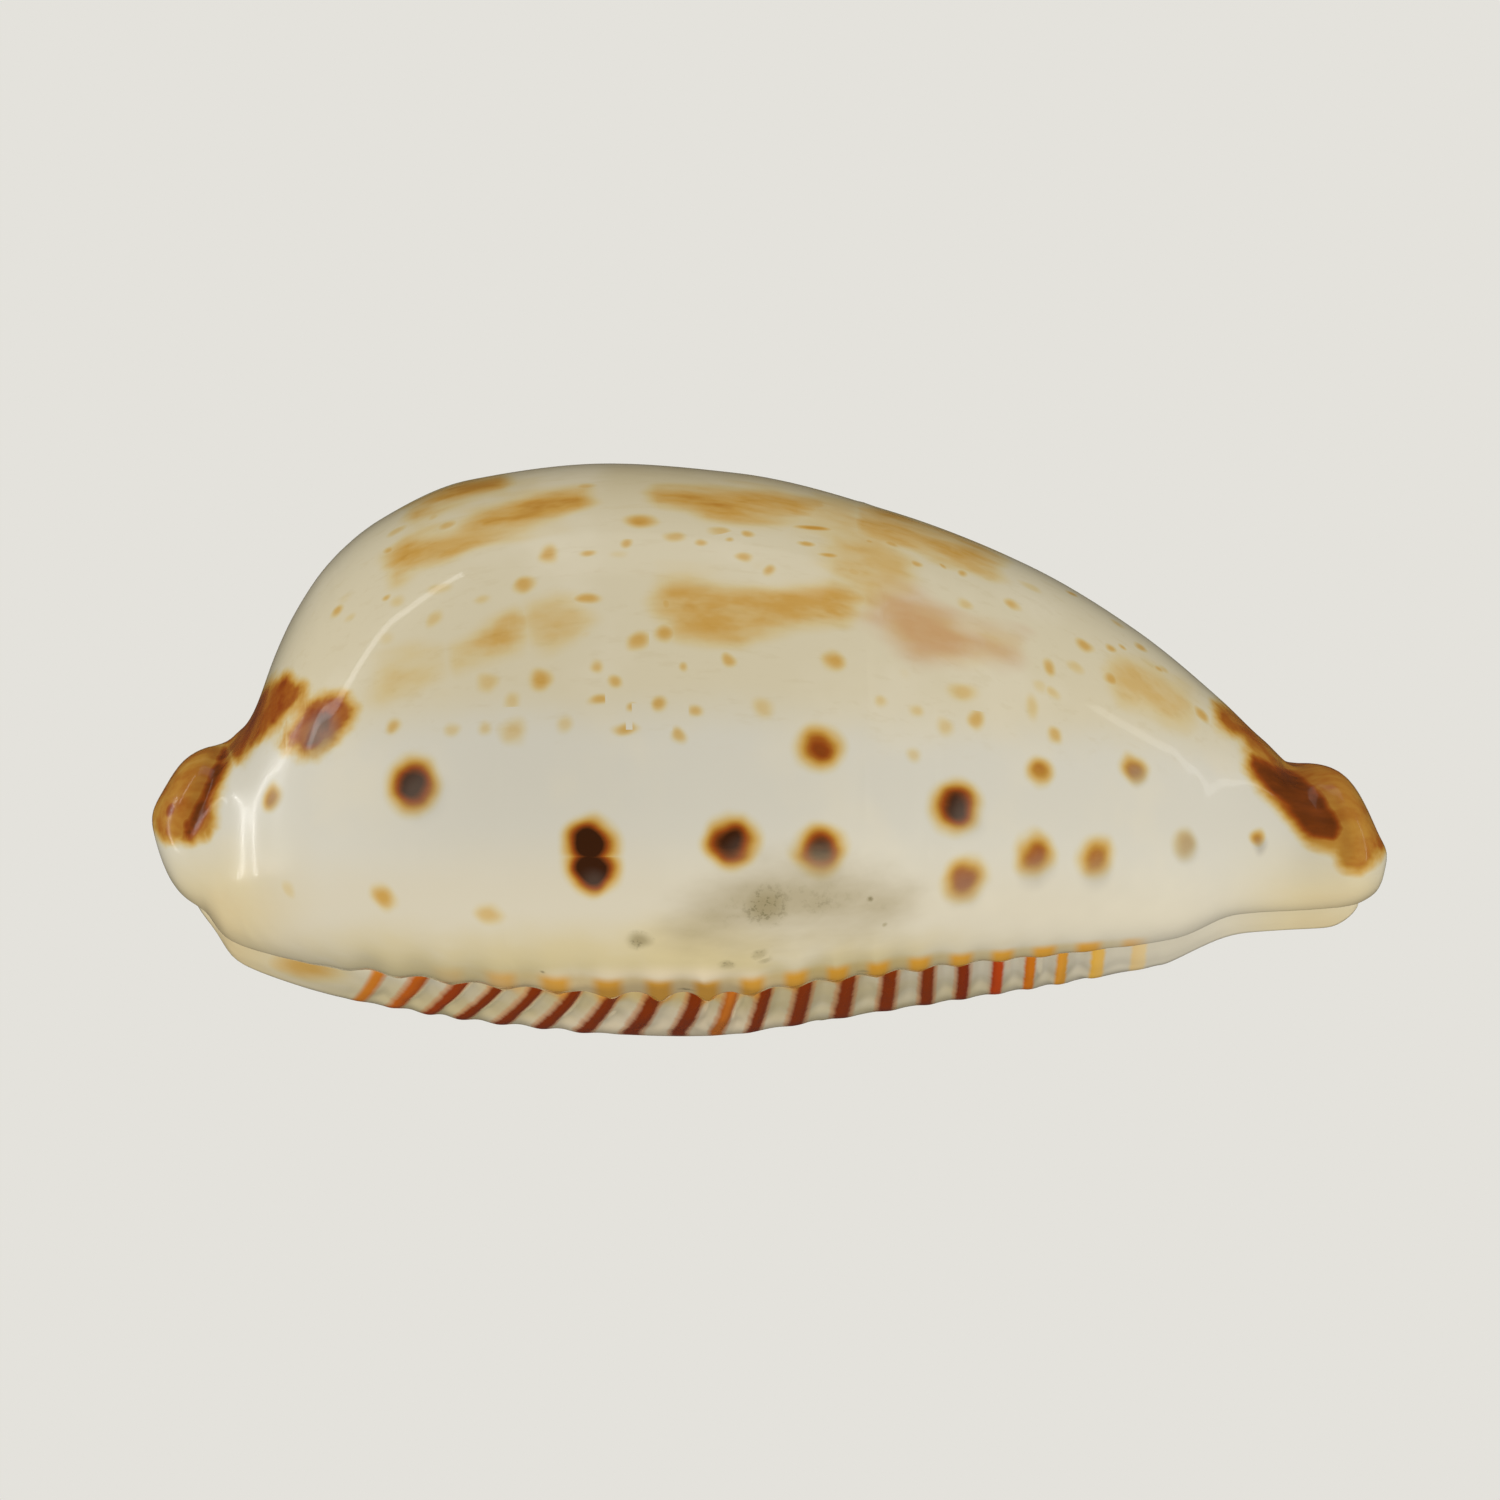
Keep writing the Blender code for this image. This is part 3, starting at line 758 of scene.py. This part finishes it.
# Blotches on the back, streaked along the shell and darker near the crest.
def blotchPigment():
    streaky = fade(patches, *glazeLook["streaky"])
    darker = atLevel("darkerBlotches", z, 0.10)
    return most([stainPigment("tan", times(streaks, glazeLook["tanStreaks"]), streaky, darker),
                 stainPigment("faint", streaks, streaky), stainPigment("rosy", 0.0, streaky)])


dustLook = {
    "cellScale": 900,
    "cellStretch": 0.8,
    "edge": (0.34, 0.08),    # of a cell, from its middle
    "chosen": (0.55, 0.95),  # cells under the first have no speck, and past the second a full one
    "pigment": 0.26,
}


# Specks: many faint ones in cells, and the ones that stand out.
def speckPigment():
    cells = nodes.new("ShaderNodeTexVoronoi")
    shaken = vectors("ADD", place, shake)
    feed(cells.inputs["Vector"], vectors("MULTIPLY", shaken, (dustLook["cellStretch"], 1, 1)))
    cells.inputs["Scale"].default_value = dustLook["cellScale"]
    chance = nodes.new("ShaderNodeSeparateColor")
    feed(chance.inputs[0], cells.outputs["Color"])
    dust = times(fade(cells.outputs["Distance"], *dustLook["edge"]),
                 fade(chance.outputs[0], *dustLook["chosen"]), atLevel("dust", z))
    return maths("MAXIMUM", times(dust, dustLook["pigment"]), markStrength("speck"))


endLook = {
    "edgeSwing": 0.5,        # mm
    "darkerAtRear": -3.5,    # pigment for each metre along
    "cast": 0.15,
    "castAlong": (13.2, 17.0),   # mm from the middle
}


# Stains at both ends, darker at the rear, painted shade in the creases beside the end lobes, and a
# golden cast on the lobes.
def endStainsAndCreaseShade():
    edgeSwing = swing(patches, endLook["edgeSwing"])
    castStart, castFull = endLook["castAlong"]
    cast = times(fade(maths("ABSOLUTE", x), castStart * mm, castFull * mm), atLevel("cast", z))
    return most([stainPigment("deep", edgeSwing, patches, times(x, endLook["darkerAtRear"])),
                 stainPigment("ochre", edgeSwing, patches),
                 stainPigment("darkAndCreaseShade", edgeSwing, patches), times(cast, endLook["cast"])])


# The near lip's golden edge: where it is across the lip and along the row of teeth, and how far
# from the middle of a tooth, counted in teeth, the gold goes.
goldenEdge = {
    "outer": (1.36, 1.08),
    "inner": (-0.9, -0.6),
    "rearTeeth": (1.5, 5.0),
    "frontTeeth": (18.0, 17.4),
    "onTooth": (0.40, 0.12),
    "pigment": 0.13,
    "gold": 0.9,
}


def lipEdge():
    tooth, across = field("outerLipTooth"), field("outerLipAcross")
    return times(fade(across, *goldenEdge["outer"]), fade(across, *goldenEdge["inner"]),
                 fade(tooth, *goldenEdge["rearTeeth"]), fade(tooth, *goldenEdge["frontTeeth"]),
                 atLevel("goldenEdge", z))


# All the pigment, with the painted shade in the end creases, laid on the ground, with the milky
# enamel over some spots.
def markedColour():
    edge = lipEdge()
    pigment = most([blotchPigment(), speckPigment(), endStainsAndCreaseShade(), markStrength("spot")])
    pigment = maths("ADD", pigment, times(pigment, swing(grain, glazeLook["grainInPigment"])))
    pigment = maths("MAXIMUM", pigment, times(edge, goldenEdge["pigment"]))
    colour = cover(groundColour(), shades(pigment, pigmentTints), 1.0, "MULTIPLY")
    colour = cover(colour, paints["veil"], markStrength("veil"))
    fromMiddle = maths("ABSOLUTE", maths("SUBTRACT", maths("FRACT", field("outerLipTooth")), 0.5))
    golden = fade(fromMiddle, *goldenEdge["onTooth"])
    return cover(colour, paints["gold"], times(edge, golden, goldenEdge["gold"]))


dirtLook = {
    "edgeSwing": 1.4,        # mm
    "grimeEdge": (-1.3, 0.9),
    "grime": 0.70,
    "wornEdge": (0.0, 0.8),
    "wornInGrime": 0.16,
    "worn": 0.75,
    "grit": (0.50, 0.64),    # of the speckled noise
}


# Dirt and worn places on the near lip.
def addDirt(colour):
    inside = maths("ADD", field("grimyStain"), swing(patches, dirtLook["edgeSwing"]))
    grimy = fade(inside, *dirtLook["grimeEdge"], 0.0, dirtLook["grime"])
    colour = cover(colour, paints["grime"], grimy)
    inGrime = times(fade(inside, *dirtLook["wornEdge"]), dirtLook["wornInGrime"])
    worn = maths("MAXIMUM", markStrength("blemish"), inGrime)
    colour = cover(colour, paints["worn"], times(worn, dirtLook["worn"]))
    return cover(colour, paints["dirt"], times(worn, fade(noise("speckled"), *dirtLook["grit"])))


# The lines on the columella's teeth and their paler edging: how wide each is, counted in teeth,
# where it ends across the lip, how high it goes in mm, and from which tooth it starts.
toothLines = {
    "line": {"width": (0.24, 0.11), "outer": (1.7, 1.1), "inner": (-0.5, -0.2), "up": (3.4, 2.8)},
    "edging": {"width": (0.31, 0.22), "outer": (1.6, 1.1), "inner": (-0.4, -0.1), "up": (3.2, 2.8)},
    "middle": 0.55,
    "grainSwing": 0.10,
    "firstTooth": (0.3, 0.5),
    "edgingEnds": (17.0, 15.0),
    "edgingShare": 0.6,
}
red = paints["toothRed"]
lineTints = [
    (0.0, paint(216, 140, 40)), (0.05, paint(204, 106, 20)), (0.10, paint(160, 62, 8)),
    (0.16, red), (0.42, red), (0.45, paint(200, 112, 30)), (0.49, red), (0.72, red),
    (0.76, paint(140, 40, 4)), (0.79, paint(196, 70, 6)), (0.84, paint(216, 124, 14)),
    (0.92, paint(232, 178, 66)), (1.0, paint(226, 206, 160))]
tooth = field("columellaTooth")
across = field("columellaAcross")


def toothLine(name):
    look = toothLines[name]
    counted = maths("ADD", tooth, times(grain, toothLines["grainSwing"]))
    onTooth = maths("SUBTRACT", maths("FRACT", counted), toothLines["middle"])
    start, end = look["up"]
    return times(fade(maths("ABSOLUTE", onTooth), *look["width"]), fade(across, *look["outer"]),
                 fade(across, *look["inner"]), fade(z, start * mm, end * mm),
                 fade(tooth, *toothLines["firstTooth"]))


line = toothLine("line")
fadingOut = fade(tooth, *toothLines["edgingEnds"])
edging = times(toothLine("edging"), fadingOut, toothLines["edgingShare"])
colour = addDirt(markedColour())
colour = cover(colour, paints["toothEdging"], edging)
colour = cover(colour, shades(maths("DIVIDE", tooth, len(teeth["columella"])), lineTints), line)

spread = glazeLook["roughnessSpread"]
roughness = maths("MULTIPLY_ADD", clouds, spread, glazeLook["roughness"] - spread / 2)
coat = maths("MULTIPLY_ADD", line, -glazeLook["coatLostOnLines"], glazeLook["coat"])
bump = nodes.new("ShaderNodeBump")
bump.inputs["Strength"].default_value = glazeLook["bumpStrength"]
bump.inputs["Distance"].default_value = glazeLook["bumpDepth"] * mm
feed(bump.inputs["Height"], grain)
feed(glaze.inputs["Base Color"], colour)
feed(glaze.inputs["Roughness"], roughness)
feed(glaze.inputs["Coat Weight"], coat)
feed(glaze.inputs["Normal"], bump.outputs[0])
glaze.inputs["Specular IOR Level"].default_value = glazeLook["sheen"]
glaze.inputs["Coat Roughness"].default_value = glazeLook["coatRoughness"]
shell.data.materials.append(porcelain)
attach(shell, "root")
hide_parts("shell")
print("porcelain mixed,", len(nodes), "nodes")

# Floor, backdrop and lights.
studio = {
    "floorSize": 6.0,
    "backdrop": paint(228, 226, 220),
    "backdropForLight": 0.48,
    "backdropInGloss": 0.025,
    "panelGlow": 0.57,
}


# The floor is card from above and clear from below, where the camera is.
def makeFloor():
    bpy.ops.object.select_all(action="DESELECT")
    bpy.ops.mesh.primitive_plane_add(size=studio["floorSize"], location=(0, 0, 0))
    floor = bpy.context.object
    floor.name = "floor"
    floor.visible_diffuse = False
    floor.visible_shadow = False
    floor.visible_glossy = False
    card = bpy.data.materials.new("pale card")
    card.use_nodes = True
    cardNodes = card.node_tree.nodes
    cardLinks = card.node_tree.links
    cardNodes.clear()
    paper = cardNodes.new("ShaderNodeBsdfDiffuse")
    paper.inputs["Color"].default_value = studio["backdrop"]
    clear = cardNodes.new("ShaderNodeBsdfTransparent")
    facing = cardNodes.new("ShaderNodeNewGeometry")
    mix = cardNodes.new("ShaderNodeMixShader")
    out = cardNodes.new("ShaderNodeOutputMaterial")
    cardLinks.new(facing.outputs["Backfacing"], mix.inputs[0])
    cardLinks.new(paper.outputs[0], mix.inputs[1])
    cardLinks.new(clear.outputs[0], mix.inputs[2])
    cardLinks.new(mix.outputs[0], out.inputs["Surface"])
    floor.data.materials.append(card)


# The camera sees the backdrop's own colour; light and gloss get a white of another strength each.
def makeBackdrop():
    world = bpy.data.worlds.new("studio")
    bpy.context.scene.world = world
    world.use_nodes = True
    sky = world.node_tree
    sky.nodes.clear()
    path = sky.nodes.new("ShaderNodeLightPath")
    out = sky.nodes.new("ShaderNodeOutputWorld")

    def glow(colour, strength):
        node = sky.nodes.new("ShaderNodeBackground")
        node.inputs["Color"].default_value = colour
        node.inputs["Strength"].default_value = strength
        return node.outputs[0]

    def either(choice, first, second):
        node = sky.nodes.new("ShaderNodeMixShader")
        sky.links.new(choice, node.inputs[0])
        sky.links.new(first, node.inputs[1])
        sky.links.new(second, node.inputs[2])
        return node.outputs[0]

    white = (1, 1, 1, 1)
    forLight = glow(white, studio["backdropForLight"])
    inGloss = glow(white, studio["backdropInGloss"])
    unseen = either(path.outputs["Is Glossy Ray"], forLight, inGloss)
    seen = either(path.outputs["Is Camera Ray"], unseen, glow(studio["backdrop"], 1.0))
    sky.links.new(seen, out.inputs["Surface"])


# Lights round the shell: centre and size in metres, the way they face and their glow. The soft
# panels only light the shell, and the glaze mirrors the window and the strips.
softPanels = {
    "front": {"centre": (0.02, -0.25, 0.0), "size": (0.52, 0.40), "facing": (0, 1, 0), "glow": 0.35},
    "left": {"centre": (-0.24, -0.09, 0.03), "size": (0.32, 0.40), "facing": (1, 0, 0), "glow": 0.9},
    "right": {"centre": (0.26, -0.14, 0.0), "size": (0.26, 0.40), "facing": (-1, 0, 0), "glow": 1.85},
    "under": {"centre": (0, -0.08, -0.16), "size": (0.44, 0.20), "facing": (0, 0.2, 1), "glow": 1.55},
    "over": {"centre": (0, -0.05, 0.30), "size": (0.30, 0.24), "facing": (0, 0.1, -1), "glow": 1.75},
}
mirroredPanels = {
    "window": {"centre": (0.01, -0.01, 0.31), "size": (0.18, 0.10), "facing": (0, 0.1, -1),
               "glow": 0.9},
    "lowStrip": {"centre": (-0.24, 0.045, 0.03), "size": (0.0018, 0.19), "facing": (1, 0, 0),
                 "glow": 200.0},
    "highStrip": {"centre": (-0.24, -0.02, 0.28), "size": (0.016, 0.34), "facing": (1, 0, -0.4),
                  "glow": 6.0},
    "rightStrip": {"centre": (0.24, -0.035, 0.10), "size": (0.016, 0.24), "facing": (-1, 0, 0),
                   "glow": 3.0},
}


def makePanels(panels, mirrored):
    for name, panel in panels.items():
        width, height = panel["size"]
        bpy.ops.object.select_all(action="DESELECT")
        turn = (-Vector(panel["facing"])).to_track_quat("Z", "Y").to_euler()
        bpy.ops.object.light_add(type="AREA", location=panel["centre"], rotation=turn)
        light = bpy.context.object
        light.name = name
        light.data.shape = "RECTANGLE"
        light.data.size, light.data.size_y = width, height
        light.data.energy = panel["glow"] * studio["panelGlow"] * math.pi * width * height
        light.visible_camera = False
        light.visible_glossy = mirrored


makeFloor()
makeBackdrop()
makePanels(softPanels, False)
makePanels(mirroredPanels, True)
bpy.context.scene.view_settings.view_transform = "Standard"
print("studio lit")
